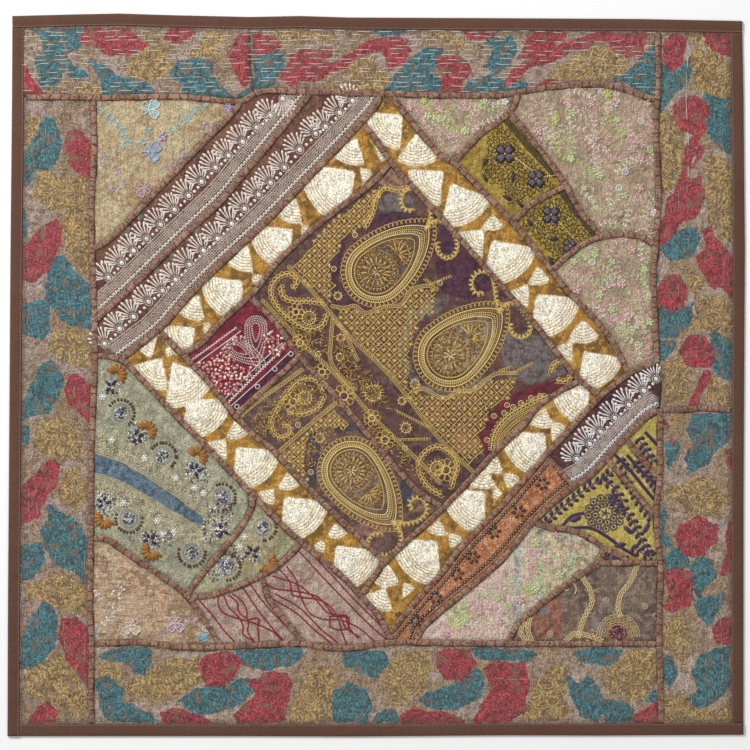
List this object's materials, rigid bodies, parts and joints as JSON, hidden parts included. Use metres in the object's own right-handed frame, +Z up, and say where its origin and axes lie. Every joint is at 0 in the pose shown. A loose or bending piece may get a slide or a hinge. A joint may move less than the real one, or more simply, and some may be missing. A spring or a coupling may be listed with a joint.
{
  "type": "embroidered tablecloth",
  "caption": "Square patchwork tablecloth laid flat: beaded and embroidered patches round a set-on-point centre, printed borders, padded seam cords and a folded binding.",
  "frame": {"origin": "on the surface that the cloth lies on, under the middle of its box", "axes": "+X towards the cloth's right edge, +Y towards its upper edge, +Z up from the surface"},
  "size_m": [1.02, 1.0002, 0.0045],
  "materials": {
    "binding_cotton": "matt plain-weave cotton, fine ribs across the strip",
    "border_print": "matt printed cotton, teal, crimson and ochre scrolls",
    "cord_braid": "matt padded braid, whipped with red thread",
    "cream_silk": "soft satin silk",
    "lace_ground": "matt brown ground under couched lace",
    "lace_ground_dark": "matt dark maroon ground under couched lace",
    "ochre_silk": "ochre silk worked with metal thread",
    "aubergine_silk": "worn satin silk",
    "maroon_silk": "satin silk",
    "worn_silk": "worn matt silk",
    "sage_cotton": "matt cotton",
    "beige_silk": "soft satin silk",
    "taupe_silk": "matt silk",
    "pale_silk": "crumpled thin silk",
    "mint_silk": "crumpled thin silk",
    "mustard_cotton": "matt printed cotton",
    "orange_silk": "satin silk",
    "yellow_silk": "matt silk",
    "brown_velvet": "short velvet with a copper sheen",
    "stitch_thread": "mercerised embroidery thread, several colours",
    "metal_thread": "tarnished gold and silver couching thread",
    "bead": "small opaque glass beads, several colours",
    "sequin": "pale cupped sequins"
  },
  "bodies": {
    "root": {"border_top_left": "border_print", "border_top_right": "border_print", "border_left": "border_print", "border_bottom": "border_print", "border_right_upper": "border_print", "border_right_lower": "border_print", "cream_butterflies": "cream_silk", "lace_band_first": "lace_ground", "lace_band_second": "lace_ground", "lace_band_third": "lace_ground_dark", "scallop_upper_left": "ochre_silk", "scallop_upper_right": "ochre_silk", "scallop_lower_right": "ochre_silk", "scallop_lower_left": "ochre_silk", "centre_paisley_large": "aubergine_silk", "centre_maroon": "maroon_silk", "centre_paisley_small": "worn_silk", "sage_discs": "sage_cotton", "sage_corner": "sage_cotton", "beige_butterflies": "beige_silk", "taupe_left": "taupe_silk", "taupe_right": "taupe_silk", "pale_triangle": "pale_silk", "mustard_upper": "mustard_cotton", "mustard_lower": "mustard_cotton", "pale_upper": "pale_silk", "pale_lower": "pale_silk", "orange_beads": "orange_silk", "yellow_upper": "yellow_silk", "yellow_middle": "yellow_silk", "yellow_flowers": "yellow_silk", "yellow_sliver": "yellow_silk", "pale_mint": "mint_silk", "brown_braid": "brown_velvet", "binding_top": "binding_cotton", "binding_right": "binding_cotton", "binding_bottom": "binding_cotton", "binding_left": "binding_cotton", "cord_right_upper": "cord_braid", "cord_right_lower": "cord_braid", "cord_right_panel": "cord_braid", "cord_top": "cord_braid", "cord_left": "cord_braid", "cord_bottom": "cord_braid", "cord_lace_first": "cord_braid", "cord_lace_second": "cord_braid", "cord_outer_lower_left": "cord_braid", "cord_outer_upper_left": "cord_braid", "cord_outer_lower_right": "cord_braid", "cord_outer_upper_right": "cord_braid", "cord_inner_upper_right": "cord_braid", "cord_inner_lower_left": "cord_braid", "cord_inner_lower_right": "cord_braid", "cord_inner_upper_left": "cord_braid", "cord_centre": "cord_braid", "cord_sage": "cord_braid", "cord_mustard": "cord_braid", "cord_orange": "cord_braid", "cord_brown": "cord_braid"}
  },
  "joints": []
}
